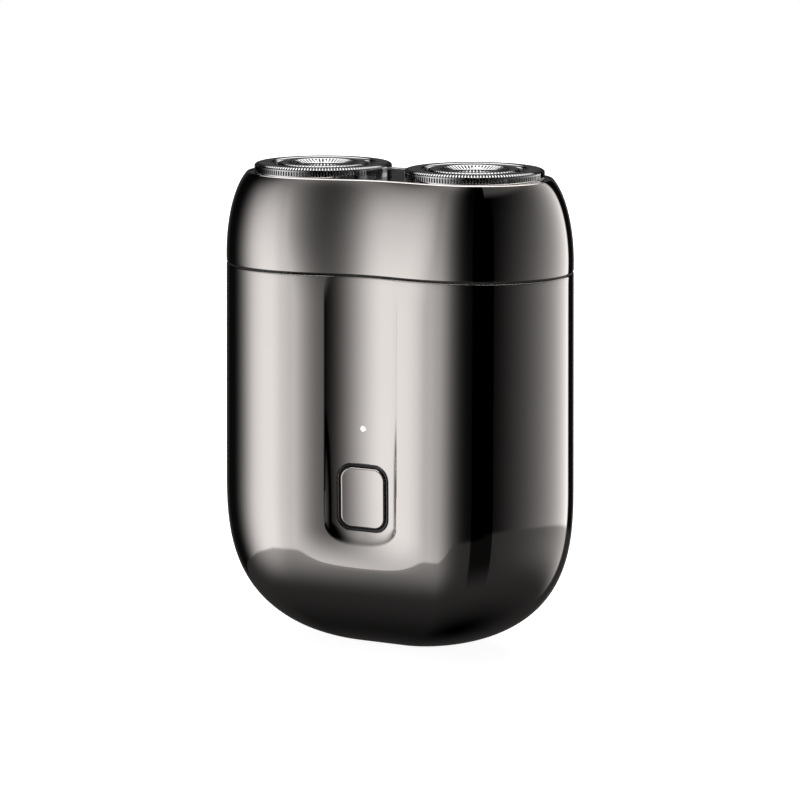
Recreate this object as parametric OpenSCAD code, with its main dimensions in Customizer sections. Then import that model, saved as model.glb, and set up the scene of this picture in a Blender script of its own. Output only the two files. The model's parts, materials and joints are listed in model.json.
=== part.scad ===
// Twin-head rotary shaver with a lift-off head, modelled piece by piece.
// Millimetres. The origin is the centre of the resting face, +Z is up and the button faces -Y.

/* [Body] */
// Width of the body at the seam
body_w = 62; // [61.5:0.1:63]
// Depth of the body at the seam
body_d = 32; // [31.9:0.1:33]
// Height of the seam between body and head
seam_z = 65.85; // [65.8:0.05:66.2]
// Height over which the lower end rounds in
round_h = 32.4; // [31.4:0.1:32.8]
// Exponent of the lower rounding, larger is squarer
round_power = 3.3; // [3.1:0.1:3.4]
// How far the straight half-length shrinks towards the bottom
round_taper = 19.4; // [18:0.2:19.4]
// Height at which the round bottom is cut flat
flat_cut = 0.35; // [0.3:0.05:0.6]
// Extra radius at the foot of the body
foot_flare = 0.8; // [0.4:0.1:1]
// How far the waist pinches in along the middle of the front and back
pinch = 1.55; // [1.4:0.05:1.6]
// Wall of the body shell
wall = 1.5; // [1.4:0.05:1.6]

/* [Head] */
// Height of the rim of the head
rim_z = 81.45; // [81.4:0.05:81.55]
// How far the shoulder curves in at the rim
shoulder_in = 3.7; // [3.5:0.02:3.72]
// Height of the shoulder curve
shoulder_h = 14.55; // [14.4:0.05:14.8]
// Wall of the head housing
head_wall = 1.2; // [1.1:0.05:1.25]
// Height of the seam gap
seam_gap = 0.3; // [0.2:0.05:0.4]

/* [Shaving caps] */
// Distance of each cap's axis from the middle
cap_x = 14; // [14:0.01:14.05]
// Outer radius of a cap
cap_r = 11.85; // [11.5:0.05:11.85]
// Outer radius of the groove between a cap's two tracks
track_out = 9.3; // [9.1:0.05:9.4]
// Inner radius of that groove
track_in = 7.7; // [7.6:0.05:7.9]
// Radius of the dish in the middle of a cap
dish_out = 5.7; // [5.5:0.1:5.8]
// Radius of the flat floor of the dish
dish_in = 4; // [3.6:0.1:4.4]
// Height of the top of the caps
cap_top = 83; // [82.95:0.05:83.2]
// Slots around each cap
cap_slots = 60; // [40:4:72]
// Blades on each cutter
cutter_blades = 9; // [6:1:12]

/* [Thumb channel] */
// Radius of the channel's concave face
channel_r = 22.1; // [21.5:0.1:23]
// Depth of the channel
channel_depth = 0.35; // [0.3:0.05:0.4]
// Height of the middle of the channel's round end
channel_end_z = 24; // [23.6:0.1:24.4]

/* [Button] */
// Height of the middle of the button
button_z = 28; // [27.6:0.1:28.4]
// Width of the black bezel
bezel_w = 9; // [8.6:0.1:9.6]
// Height of the black bezel
bezel_h = 11.8; // [11:0.1:12.4]
// Corner radius of the bezel
bezel_r = 3.2; // [2.6:0.1:3.6]
// Width of the black ring seen around the button
bezel_ring = 0.5; // [0.4:0.05:0.6]
// Travel of the button
button_travel = 0.35; // [0.2:0.05:0.35]
// Height of the indicator light
light_z = 40; // [39:0.1:41]

/* [Hidden] */
$fn = 64;
eps = 0.01;
half_len = (body_w - body_d) / 2;
end_r = body_d / 2;
ring_steps = 22;
mid_steps = 12;
shoulder_steps = 10;
round_steps = 16;
shoulder_curve = 0.92;
gap = 0.05;
waist_low = 4;
waist_high = 24;
plate_waist = 13.5;
plate_waist_r = (pow(plate_waist, 2) + pow(pinch, 2)) / (2 * pinch);
front_depth = pinch + channel_depth;

// Heights of the inner assembly, from the bottom up
base_z = seam_z - 6.75;
base_t = 2;
gear_z = base_z + 3.2;
gear_t = 2;
cover_top = base_z + 6.8;
tube_top = cover_top + 2.8;
hub_top = tube_top + 1.4;
retainer_z = 75.2;
carrier_z = 78.1;
frame_z = 79;
cutter_z = 80.2;
head_bottom = seam_z + seam_gap / 2;
body_top = seam_z - seam_gap / 2;

// Radii and widths of the inner assembly
inner_r = end_r - wall;
base_r = inner_r - 0.15;
seal_in = base_r - 0.35;
cover_r = 12.4;
cover_wall = 1;
collar_r = inner_r - 0.1;
collar_wall = 1.4;
hub_r = 3;
hub_bore = 2.05;
spindle_r = 1.5;
spindle_square = 3;
socket_square = 3.2;
cap_wall = 0.45;
rim_wall = 0.3;
carrier_bore = cap_r - 0.58;
flange_r = cap_r + 0.5;
flange_t = 0.45;
frame_hole_r = cap_r + 0.08;
motor_r = 8.6;
motor_top = base_z;
motor_h = 24;
battery_x = -17.5;
battery_r = 7;
battery_z = 12.5;
battery_h = 43;
board_y = -9.7;
board_t = 1;
board_w = 24.8;
board_z = 14;
board_h = 42;
pad_y = -12.9;
screw_x = 27.85;
screw_hole_r = 0.9;
cover_screw_y = 9.2;
chassis_screw_x = 13;
chassis_screw_y = 9.6;
retainer_screw_y = 8.5;
magnet_y = 4.4;
switch_z = button_z;
port_w = 9;
port_h = 3.26;
port_r = 1.62;
port_wall = 0.25;

// Gears: half the sum of the teeth times the module is the distance from the motor to a cap
gear_module = 0.7;
pinion_teeth = 10;
gear_teeth = 30;
pressure_angle = 20;
pinion_pitch_r = gear_module * pinion_teeth / 2;
gear_pitch_r = gear_module * gear_teeth / 2;
gear_tip_r = gear_pitch_r + 0.45;
pinion_tip_r = pinion_pitch_r + gear_module;
tip_clearance = 0.15;
backlash = 0.12;
gear_root_r = gear_pitch_r + pinion_pitch_r - pinion_tip_r - tip_clearance;
pinion_root_r = gear_pitch_r + pinion_pitch_r - gear_tip_r - tip_clearance;

// Waist: how far the outline pinches in at x; it fades out towards the foot
function waist_fade(z) =
    let (t = max(0, min(1, (z - waist_low) / (waist_high - waist_low))))
    t * t * (3 - 2 * t);
function waist(x, z) = abs(x) < half_len ? pinch * waist_fade(z) * pow(cos(90 * x / half_len), 2) : 0;

// Outline of one level: half-length c and end radius r, as points around a stadium
function stadium_ring(c, r, z) = [
    for (p = concat(
        [for (i = [0 : ring_steps]) [c, -90 + 180 * i / ring_steps]],
        [for (i = [1 : mid_steps - 1]) [c * (1 - 2 * i / mid_steps), 90]],
        [for (i = [0 : ring_steps]) [-c, 90 + 180 * i / ring_steps]],
        [for (i = [1 : mid_steps - 1]) [-c * (1 - 2 * i / mid_steps), 270]]))
        let (x = p[0] + r * cos(p[1]))
        [x, (r - waist(x, z)) * sin(p[1]), z]
];

// Lower rounding: 0 at the very bottom, 1 where the body runs straight
function round_in(z) = z >= round_h - flat_cut ? 1
    : pow(1 - pow(1 - (z + flat_cut) / round_h, round_power), 1 / round_power);
function flare(z) = foot_flare * (1 - z / seam_z);
function body_r(z) = (end_r + flare(z)) * round_in(z);
function body_c(z) = half_len - round_taper * (1 - round_in(z));

// Shoulder of the head: how far the wall has curved in at height z
function shoulder_t(z) = max(0, (z - (rim_z - shoulder_h)) / shoulder_h);
function shoulder_drop(t) = 1 - sqrt(1 - pow(shoulder_curve * t, 2));
function head_r(z) = end_r - shoulder_in * shoulder_drop(shoulder_t(z)) / shoulder_drop(1);

// Joins rings of points into a closed skin. The rings run from the outside around to the inside;
// an open skin also has its first and last rings closed by a fan around the middle.
module skin(rings, closed_loop = false) {
    n = len(rings[0]);
    count = len(rings);
    bands = closed_loop ? count : count - 1;
    points = [for (ring = rings) each ring];
    sides = [for (k = [0 : bands - 1], i = [0 : n - 1])
        let (next = (k + 1) % count)
        [k * n + i, next * n + i, next * n + (i + 1) % n, k * n + (i + 1) % n]];
    middles = [[0, 0, rings[0][0][2]], [0, 0, rings[count - 1][0][2]]];
    first = [for (i = [0 : n - 1]) [i, (i + 1) % n, count * n]];
    last = [for (i = [0 : n - 1])
        [(count - 1) * n + (i + 1) % n, (count - 1) * n + i, count * n + 1]];
    if (closed_loop)
        polyhedron(points = points, faces = sides, convexity = 6);
    else
        polyhedron(points = concat(points, middles), faces = concat(sides, first, last),
            convexity = 6);
}

// Stadium outline for the inner parts, pinched at the waist like the shells around them
module stadium(c, r) {
    difference() {
        union() {
            square([2 * c, 2 * r], center = true);
            for (side = [-1, 1])
                translate([side * c, 0])
                    circle(r);
        }
        for (side = [-1, 1])
            translate([0, side * (r - pinch + plate_waist_r)])
                circle(plate_waist_r, $fn = 256);
    }
}

module stadium_plate(c, r, z, h) {
    translate([0, 0, z])
        linear_extrude(h)
            stadium(c, r);
}

module stadium_wall(c, r, inner, z, h) {
    translate([0, 0, z])
        linear_extrude(h)
            difference() {
                stadium(c, r);
                stadium(c, inner);
            }
}

module round_rect(w, h, r) {
    square([w - 2 * r, h], center = true);
    square([w, h - 2 * r], center = true);
    for (sx = [-1, 1], sy = [-1, 1])
        translate([sx * (w / 2 - r), sy * (h / 2 - r)])
            circle(r, $fn = 48);
}

// Stands a flat outline up on the button's axis, from y0 forwards to y1
module facing(y0, y1, z) {
    translate([0, max(y0, y1), z])
        rotate([90, 0, 0])
            linear_extrude(abs(y1 - y0))
                children();
}

module facing_rod(r, y0, y1, x, z) {
    translate([x, max(y0, y1), z])
        rotate([90, 0, 0])
            cylinder(h = abs(y1 - y0), r = r, $fn = 32);
}

module tube(outer, inner, z, h) {
    translate([0, 0, z])
        difference() {
            cylinder(h = h, r = outer);
            translate([0, 0, -eps])
                cylinder(h = h + 2 * eps, r = inner);
        }
}

module rod(r, z, h) {
    translate([0, 0, z])
        cylinder(h = h, r = r);
}

// Screw with a round head below z = 0 for its shank and a cross recess in the head
module screw(head_r, head_h, shank_r, shank_h) {
    difference() {
        cylinder(h = head_h, r = head_r, $fn = 32);
        for (turn = [0, 90])
            rotate(turn)
                translate([-head_r * 0.6, -0.2, head_h * 0.45])
                    cube([head_r * 1.2, 0.4, head_h]);
    }
    translate([0, 0, -shank_h])
        cylinder(h = shank_h + eps, r = shank_r, $fn = 32);
}

// Involute gear outline
function involute(rb, t) = [rb * (cos(t) + t * PI / 180 * sin(t)), rb * (sin(t) - t * PI / 180 * cos(t))];
function involute_t(rb, r) = sqrt(max(0, pow(r / rb, 2) - 1)) * 180 / PI;
function involute_angle(rb, r) =
    let (t = involute_t(rb, r))
    t - atan2(t * PI / 180, 1);
function turn(p, a) = [p[0] * cos(a) - p[1] * sin(a), p[0] * sin(a) + p[1] * cos(a)];

function gear_tooth(teeth, pitch_r, root_r, tip_r) =
    let (rb = pitch_r * cos(pressure_angle))
    let (half_tooth = 90 / teeth - backlash / 2 / pitch_r * 180 / PI / 2)
    let (foot = half_tooth + involute_angle(rb, pitch_r))
    let (start_r = max(rb, root_r))
    let (radii = [for (i = [0 : 4]) start_r + (tip_r - start_r) * i / 4])
    let (rising = [for (r = radii) turn([r, 0], -foot + involute_angle(rb, r))])
    concat([turn([root_r, 0], -foot)], rising,
        [for (i = [4 : -1 : 0]) [rising[i][0], -rising[i][1]]], [turn([root_r, 0], foot)]);

module gear_outline(teeth, pitch_r, root_r, tip_r) {
    tooth = gear_tooth(teeth, pitch_r, root_r, tip_r);
    polygon([for (i = [0 : teeth - 1]) each [for (p = tooth) turn(p, 360 * i / teeth)]]);
}

// The concave thumb channel: an upright cylinder with a ball end, leaning with the body's flare
module channel_cutter() {
    lean = atan(foot_flare / seam_z);
    face_y = -body_r(channel_end_z);
    translate([0, face_y + front_depth - channel_r, channel_end_z])
        rotate([-lean, 0, 0]) {
            cylinder(h = 60, r = channel_r, $fn = 128);
            sphere(r = channel_r, $fn = 128);
        }
}

module body_shell() {
    outer_z = [for (i = [0 : round_steps]) (round_h - flat_cut) * (1 - cos(90 * i / round_steps))];
    outer = [for (z = outer_z) stadium_ring(body_c(z), body_r(z), z)];
    outer_top = [stadium_ring(half_len, body_r(body_top), body_top)];
    inner_top = [stadium_ring(half_len, body_r(body_top) - wall, body_top)];
    inner_z = [for (i = [round_steps : -1 : 3]) (round_h - flat_cut) * (1 - cos(90 * i / round_steps))];
    inner = [for (z = inner_z) stadium_ring(body_c(z), body_r(z) - wall, z + wall * (1 - z / round_h))];
    color([0.42, 0.40, 0.40])
        difference() {
            union() {
                skin(concat(outer, outer_top, inner_top, inner));
                translate([-7.5, pad_y - 2, 17])
                    cube([15, 2, 31]);
                for (side = [-1, 1])
                    translate([side * screw_x, 0, 46])
                        cylinder(h = base_z - 46, r = 2, $fn = 32);
                for (side = [-1, 1])
                    translate([side * (screw_x + 1.2) - 0.6, -1, 46])
                        cube([1.2, 2, base_z - 46]);
            }
            channel_cutter();
            facing(pad_y + 1, -20, button_z)
                round_rect(bezel_w, bezel_h, bezel_r);
            facing_rod(0.62, pad_y + 1, -20, 0, light_z);
            for (side = [-1, 1])
                translate([side * screw_x, 0, base_z - 6])
                    cylinder(h = 8, r = 0.82, $fn = 32);
            translate([0, 0, -1])
                linear_extrude(6)
                    round_rect(port_w + 2 * gap, port_h + 2 * gap, port_r + gap);
        }
}

module button_bezel() {
    front_y = -body_r(button_z) + front_depth - 0.1;
    color([0.03, 0.03, 0.03])
        difference() {
            union() {
                facing(pad_y, front_y, button_z)
                    round_rect(bezel_w - 0.04, bezel_h - 0.04, bezel_r - 0.02);
                facing(pad_y + gap, pad_y + 0.55, button_z)
                    round_rect(bezel_w + 1.6, bezel_h + 1.6, bezel_r + 0.6);
                facing(pad_y - 0.1, pad_y + 0.2, button_z)
                    round_rect(bezel_w - 0.04, bezel_h - 0.04, bezel_r - 0.02);
            }
            facing(pad_y + 2, -20, button_z)
                round_rect(bezel_w - 2 * bezel_ring, bezel_h - 2 * bezel_ring, bezel_r - bezel_ring);
        }
}

module button_cap() {
    front_y = -body_r(button_z) + front_depth - 0.02;
    inset = 2 * bezel_ring + 0.16;
    color([0.42, 0.40, 0.40]) {
        facing(pad_y + 0.7, front_y, button_z)
            round_rect(bezel_w - inset, bezel_h - inset, bezel_r - inset / 2);
        facing(pad_y + 0.6, pad_y + 1.4, button_z)
            round_rect(bezel_w + 0.4, bezel_h + 0.4, bezel_r);
    }
}

module light_pipe() {
    front_y = -body_r(light_z) + front_depth - 0.02;
    color([0.95, 0.96, 1.0]) {
        facing_rod(0.58, pad_y + 0.3, front_y, 0, light_z);
        facing_rod(1.3, pad_y + gap, pad_y + 0.7, 0, light_z);
        facing_rod(0.58, pad_y + 0.6, board_y - 0.75, 0, light_z);
    }
}

module status_led() {
    color([0.95, 0.93, 0.85])
        translate([-0.8, board_y - 0.65, light_z - 0.4])
            cube([1.6, 0.65, 0.8]);
}

module circuit_board() {
    color([0.05, 0.28, 0.14])
        difference() {
            translate([-board_w / 2, board_y, board_z])
                cube([board_w, board_t, board_h]);
            for (side = [-1, 1], z = [board_z + 3, board_z + 37])
                facing_rod(0.7, board_y - 1, board_y + 2, side * (board_w / 2 - 1.5), z);
        }
    color([0.08, 0.08, 0.09]) {
        translate([-6.5, board_y - 1, 46])
            cube([5, 1 + eps, 5]);
        translate([3, board_y - 0.8, 45])
            cube([3.5, 0.8 + eps, 4]);
        translate([-8, board_y - 0.6, 19])
            cube([2, 0.6 + eps, 3]);
    }
}

module tact_switch() {
    color([0.15, 0.15, 0.16])
        difference() {
            translate([-2.3, board_y - 1.35, switch_z - 2.3])
                cube([4.6, 1.35, 4.6]);
            facing_rod(1.05, board_y - 1, board_y - 2, 0, switch_z);
        }
}

module switch_plunger() {
    color([0.75, 0.2, 0.15])
        facing_rod(1, board_y - 1.05 - button_travel, pad_y + 1.4, 0, switch_z);
}

module board_screws() {
    color([0.75, 0.75, 0.77])
        for (side = [-1, 1], z = [board_z + 3, board_z + 37])
            translate([side * (board_w / 2 - 1.5), board_y, z])
                rotate([90, 0, 0])
                    screw(1.2, 0.6, 0.6, 3.5);
}

module charge_socket_shell() {
    color([0.78, 0.78, 0.8])
        translate([0, 0, 0.4])
            difference() {
                linear_extrude(7.4)
                    round_rect(port_w, port_h, port_r);
                translate([0, 0, -1])
                    linear_extrude(7)
                        round_rect(port_w - 2 * port_wall, port_h - 2 * port_wall, port_r - port_wall);
            }
}

module charge_socket_tongue() {
    color([0.06, 0.06, 0.07])
        translate([-3.3, -0.35, 1.2])
            cube([6.6, 0.7, 5.2]);
}

module battery_cell() {
    color([0.15, 0.35, 0.6])
        translate([battery_x, 0, 0]) {
            rod(battery_r, battery_z, battery_h - 1.5);
            rod(battery_r - 0.4, battery_z + battery_h - 1.6, 0.8);
            rod(2.2, battery_z + battery_h - 1, 1);
        }
}

module battery_tabs() {
    color([0.8, 0.79, 0.74])
        translate([battery_x, 0, 0]) {
            translate([-1.5, -1.5, battery_z - 0.15])
                cube([7, 3, 0.15]);
            translate([-1.5, -1.5, battery_z + battery_h])
                cube([7, 3, 0.15]);
        }
}

module chassis_collar(x, r, z) {
    translate([x, 0, 0])
        tube(r + 1.35, r + 0.05, z, 4);
}

module inner_chassis() {
    back_y = 9.8;
    color([0.2, 0.21, 0.23])
        difference() {
            union() {
                translate([-20, back_y, 16])
                    cube([40, 1.4, base_z - 16 - gap]);
                for (z = [board_z + 1.5, board_z + 35.5]) {
                    chassis_collar(battery_x, battery_r, z);
                    translate([-22, 7.6, z])
                        cube([9, back_y - 7.2, 4]);
                    translate([-12.4, board_y + board_t, z])
                        cube([3, 4.4, 4]);
                    translate([9.4, board_y + board_t, z])
                        cube([3, back_y - board_y, 4]);
                }
                chassis_collar(0, motor_r, 37);
                translate([-3, motor_r + 0.6, 37])
                    cube([6, 1.5, 4]);
                for (side = [-1, 1])
                    translate([side * chassis_screw_x, chassis_screw_y, base_z - 7])
                        cylinder(h = 7 - gap, r = 2, $fn = 32);
                // Landing for the charging socket
                translate([-6, -2.6, 7.9])
                    cube([12, 5.2, 1.2]);
                translate([-3, 1.4, 7.9])
                    cube([6, 1.2, 10]);
                translate([-3, 1.4, 16])
                    cube([6, back_y - 1, 1.6]);
            }
            for (side = [-1, 1])
                translate([side * chassis_screw_x, chassis_screw_y, base_z - 5])
                    cylinder(h = 8, r = 0.82, $fn = 32);
            for (side = [-1, 1], z = [board_z + 3, board_z + 37])
                facing_rod(0.62, board_y - 1, board_y + 5, side * (board_w / 2 - 1.5), z);
            translate([battery_x, 0, 0])
                rod(battery_r + 0.05, 10, 50);
            rod(motor_r + 0.05, 30, 40);
            // Room for the board in front of the motor's collar
            translate([-board_w / 2, board_y - 2, board_z])
                cube([board_w, board_t + 2, board_h]);
        }
}

module motor_can() {
    color([0.7, 0.71, 0.73])
        difference() {
            union() {
                rod(motor_r, motor_top - motor_h, motor_h);
                rod(3, motor_top - eps, 1.2);
            }
            rod(1.05, motor_top - motor_h - 1, motor_h + 4);
            for (side = [-1, 1])
                translate([0, side * 5.5, motor_top - 2.5])
                    cylinder(h = 4, r = 0.82, $fn = 32);
        }
}

module motor_end_cap() {
    color([0.9, 0.9, 0.88])
        difference() {
            union() {
                rod(motor_r - 0.3, motor_top - motor_h - 1.6, 1.6);
                for (side = [-1, 1])
                    translate([side * 5 - 0.4, -1.2, motor_top - motor_h - 4.2])
                        cube([0.8, 2.4, 2.8]);
            }
            rod(1.05, motor_top - motor_h - 3, 4);
        }
}

module motor_screws() {
    color([0.75, 0.75, 0.77])
        for (side = [-1, 1])
            translate([0, side * 5.5, base_z + base_t])
                screw(1.4, 0.8, 0.8, 3.9);
}

module motor_shaft() {
    color([0.85, 0.85, 0.87])
        rod(1, motor_top - motor_h - 1, motor_h + 6.4);
}

module motor_pinion() {
    color([0.85, 0.72, 0.35])
        difference() {
            translate([0, 0, gear_z])
                linear_extrude(gear_t)
                    rotate(180 / pinion_teeth)
                        gear_outline(pinion_teeth, pinion_pitch_r, pinion_root_r, pinion_tip_r);
            rod(1, gear_z - 1, gear_t + 2);
        }
}

module gearbox_base() {
    color([0.3, 0.31, 0.33])
        difference() {
            stadium_plate(half_len, base_r, base_z, base_t);
            stadium_wall(half_len, base_r + 2, seal_in, base_z + 0.4, 1.2);
            rod(3.05, base_z - 1, base_t + 2);
            for (side = [-1, 1]) {
                translate([0, side * 5.5, base_z - 1])
                    cylinder(h = base_t + 2, r = 0.95, $fn = 32);
                translate([side * screw_x, 0, base_z - 1])
                    cylinder(h = base_t + 2, r = screw_hole_r, $fn = 32);
                translate([side * chassis_screw_x, chassis_screw_y, base_z - 1])
                    cylinder(h = base_t + 2, r = 0.95, $fn = 32);
                translate([0, side * cover_screw_y, base_z - 1])
                    cylinder(h = base_t + 2, r = 0.82, $fn = 32);
                translate([side * cap_x, 0, base_z - 1])
                    cylinder(h = base_t + 2, r = 1.5, $fn = 32);
            }
        }
}

module base_seal() {
    color([0.08, 0.08, 0.08])
        stadium_wall(half_len, inner_r - 0.06, seal_in + 0.02, base_z + 0.42, 1.16);
}

module base_screws() {
    color([0.75, 0.75, 0.77]) {
        for (side = [-1, 1])
            translate([side * screw_x, 0, base_z + base_t])
                screw(1.4, 0.9, 0.8, 7);
        for (side = [-1, 1])
            translate([side * chassis_screw_x, chassis_screw_y, base_z + base_t])
                screw(1.45, 0.9, 0.8, 6.5);
    }
}

module gear_axles() {
    color([0.85, 0.85, 0.87])
        for (side = [-1, 1])
            translate([side * cap_x, 0, 0])
                rod(1.5, base_z, gear_z + 0.9 - base_z);
}

module gearbox_cover() {
    inside_z = cover_top - 1.2;
    color([0.24, 0.25, 0.27])
        difference() {
            union() {
                difference() {
                    stadium_plate(cap_x, cover_r, base_z + base_t, cover_top - base_z - base_t);
                    stadium_plate(cap_x, cover_r - cover_wall, base_z, inside_z - base_z);
                }
                for (side = [-1, 1]) {
                    translate([side * cap_x, 0, cover_top - eps])
                        cylinder(h = tube_top - cover_top, r = 4.2);
                    translate([0, side * cover_screw_y, base_z + base_t])
                        cylinder(h = cover_top - base_z - base_t, r = 2);
                    translate([0, side * magnet_y, cover_top - eps])
                        cylinder(h = 2, r = 3.3);
                }
            }
            for (side = [-1, 1]) {
                translate([side * cap_x, 0, inside_z - 1])
                    cylinder(h = 8, r = hub_r + gap);
                translate([0, side * cover_screw_y, base_z])
                    cylinder(h = 10, r = 0.95, $fn = 32);
                translate([0, side * magnet_y, cover_top + 0.2])
                    cylinder(h = 4, r = 2.52);
            }
        }
}

module cover_screws() {
    color([0.75, 0.75, 0.77])
        for (side = [-1, 1])
            translate([0, side * cover_screw_y, cover_top])
                screw(1.45, 0.9, 0.8, 6.5);
}

module spindle_seals() {
    color([0.1, 0.1, 0.1])
        for (side = [-1, 1])
            translate([side * cap_x, 0, 0])
                tube(4.5, hub_r + gap, tube_top, 0.6);
}

module head_collar() {
    flange_r = body_r(body_top) - 0.3;
    color([0.07, 0.07, 0.07]) {
        stadium_wall(half_len, collar_r, collar_r - collar_wall, base_z + 3.4, 5.7);
        stadium_wall(half_len, flange_r, collar_r - 1, body_top, seam_gap);
    }
}

module head_magnets() {
    color([0.8, 0.8, 0.82])
        for (side = [-1, 1])
            translate([0, side * magnet_y, 0])
                rod(2.5, cover_top + 0.2, 1.9);
}

// Drive parts, drawn on their own axis and placed left or right
module drive_gear() {
    color([0.88, 0.88, 0.84])
        difference() {
            union() {
                translate([0, 0, gear_z])
                    linear_extrude(gear_t)
                        gear_outline(gear_teeth, gear_pitch_r, gear_root_r, gear_tip_r);
                rod(hub_r, gear_z + gear_t - eps, hub_top - gear_z - gear_t);
            }
            rod(1.55, gear_z - 1, 2);
            rod(hub_bore, gear_z + 1.6, 20);
            translate([-2.72, -0.45, hub_top - 3.4])
                cube([5.44, 0.9, 10]);
        }
}

// Compression spring: a round wire swept along a helix
function spring_point(k, turns, steps, r, z, h) =
    let (a = 360 * turns * k / steps)
    [r * cos(a), r * sin(a), z + h * k / steps];

module spindle_spring() {
    wire_r = 0.22;
    turns = 4.5;
    steps = 72;
    sides = 6;
    coil_r = 1.5;
    bottom = gear_z + 1.6 + wire_r + 0.02;
    height = hub_top - 2 - bottom - wire_r - 0.02;
    centres = [for (k = [0 : steps]) spring_point(k, turns, steps, coil_r, bottom, height)];
    points = [for (k = [0 : steps], s = [0 : sides - 1])
        let (a = 360 * turns * k / steps)
        let (b = 360 * s / sides)
        [centres[k][0] + wire_r * cos(b) * cos(a), centres[k][1] + wire_r * cos(b) * sin(a),
            centres[k][2] + wire_r * sin(b)]];
    faces = concat(
        [for (k = [0 : steps - 1], s = [0 : sides - 1])
            let (next = (s + 1) % sides)
            [k * sides + s, (k + 1) * sides + s, (k + 1) * sides + next, k * sides + next]],
        [[for (s = [0 : sides - 1]) s], [for (s = [0 : sides - 1]) steps * sides + sides - 1 - s]]);
    color([0.8, 0.8, 0.82])
        polyhedron(points = points, faces = faces, convexity = 8);
}

module drive_spindle() {
    collar_z = hub_top - 2;
    top_z = cutter_z + 0.1;
    color([0.92, 0.92, 0.9]) {
        rod(1, gear_z + 3, collar_z - gear_z - 2.9);
        rod(hub_bore - gap, collar_z, 2.6);
        rod(spindle_r, collar_z + 2.5, top_z - 2 - collar_z - 2.5);
        translate([-spindle_square / 2, -spindle_square / 2, top_z - 2.1])
            cube([spindle_square, spindle_square, 2.1]);
        translate([-2.6, -0.37, collar_z])
            cube([5.2, 0.74, 1.6]);
    }
}

module head_housing() {
    levels = [for (i = [0 : shoulder_steps])
        rim_z - shoulder_h * (1 - sin(90 * i / shoulder_steps))];
    outer = [for (z = levels) stadium_ring(half_len, head_r(z), z)];
    outer_foot = [stadium_ring(half_len, end_r, head_bottom)];
    inner_levels = [for (z = levels) if (z < rim_z - 0.8) z];
    inner = [for (i = [len(inner_levels) - 1 : -1 : 0])
        stadium_ring(half_len, head_r(inner_levels[i]) - head_wall, inner_levels[i])];
    inner_rim = [stadium_ring(half_len, head_r(rim_z) - rim_wall, rim_z),
        stadium_ring(half_len, head_r(rim_z) - rim_wall, rim_z - 1.2)];
    inner_foot = [stadium_ring(half_len, end_r - head_wall, head_bottom)];
    color([0.42, 0.40, 0.40])
        skin(concat(outer_foot, outer, inner_rim, inner, inner_foot), closed_loop = true);
}

module head_frame() {
    top_r = head_r(rim_z) - rim_wall - 0.12;
    color([0.04, 0.04, 0.04])
        difference() {
            union() {
                stadium_plate(half_len, flange_r - gap, frame_z, flange_t);
                stadium_plate(half_len, min(top_r, frame_hole_r - gap), frame_z + flange_t - 0.05,
                    rim_z - 0.15 - (frame_z + flange_t - 0.05));
            }
            for (side = [-1, 1]) {
                translate([side * cap_x, 0, frame_z - 1])
                    cylinder(h = 6, r = frame_hole_r);
                translate([0, side * retainer_screw_y, frame_z - 1])
                    cylinder(h = 2.4, r = 0.82, $fn = 32);
            }
        }
}

module blade_retainer() {
    color([0.16, 0.16, 0.17])
        difference() {
            union() {
                difference() {
                    stadium_plate(half_len, 12.9, retainer_z, 1.3);
                    for (side = [-1, 1])
                        translate([side * cap_x, 0, retainer_z - 1])
                            cylinder(h = 4, r = 10.6);
                }
                for (side = [-1, 1])
                    translate([side * cap_x, 0, 0]) {
                        tube(4.2, 3, retainer_z, 1.3);
                        for (spoke = [0 : 2])
                            rotate(60 + 120 * spoke)
                                translate([3.6, -0.6, retainer_z])
                                    cube([7.6, 1.2, 1.3]);
                    }
                for (side = [-1, 1])
                    translate([0, side * retainer_screw_y, retainer_z])
                        cylinder(h = frame_z - retainer_z, r = 1.9, $fn = 32);
            }
            for (side = [-1, 1])
                translate([0, side * retainer_screw_y, retainer_z - 1])
                    cylinder(h = 8, r = 0.95, $fn = 32);
        }
}

module retainer_screws() {
    color([0.75, 0.75, 0.77])
        for (side = [-1, 1])
            translate([0, side * retainer_screw_y, retainer_z])
                rotate([180, 0, 0])
                    screw(1.6, 0.9, 0.8, 4.9);
}

module hair_chamber() {
    floor_z = tube_top;
    color([0.12, 0.12, 0.13])
        difference() {
            union() {
                difference() {
                    stadium_plate(half_len, 13.7, floor_z, retainer_z - floor_z - gap);
                    stadium_plate(half_len, 12.7, floor_z + 1.2, 10);
                }
                for (side = [-1, 1])
                    translate([side * cap_x, 0, floor_z])
                        cylinder(h = 4.5, r = 5.8);
            }
            for (side = [-1, 1])
                translate([side * cap_x, 0, floor_z - 1])
                    cylinder(h = 8, r = 4.8);
            translate([-3.1, -7.4, floor_z - 1])
                cube([6.2, 14.8, 1.9]);
        }
}

module keeper_plate() {
    color([0.7, 0.7, 0.72])
        translate([-3, -7.3, tube_top + 0.05])
            cube([6, 14.6, 0.8]);
}

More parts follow.
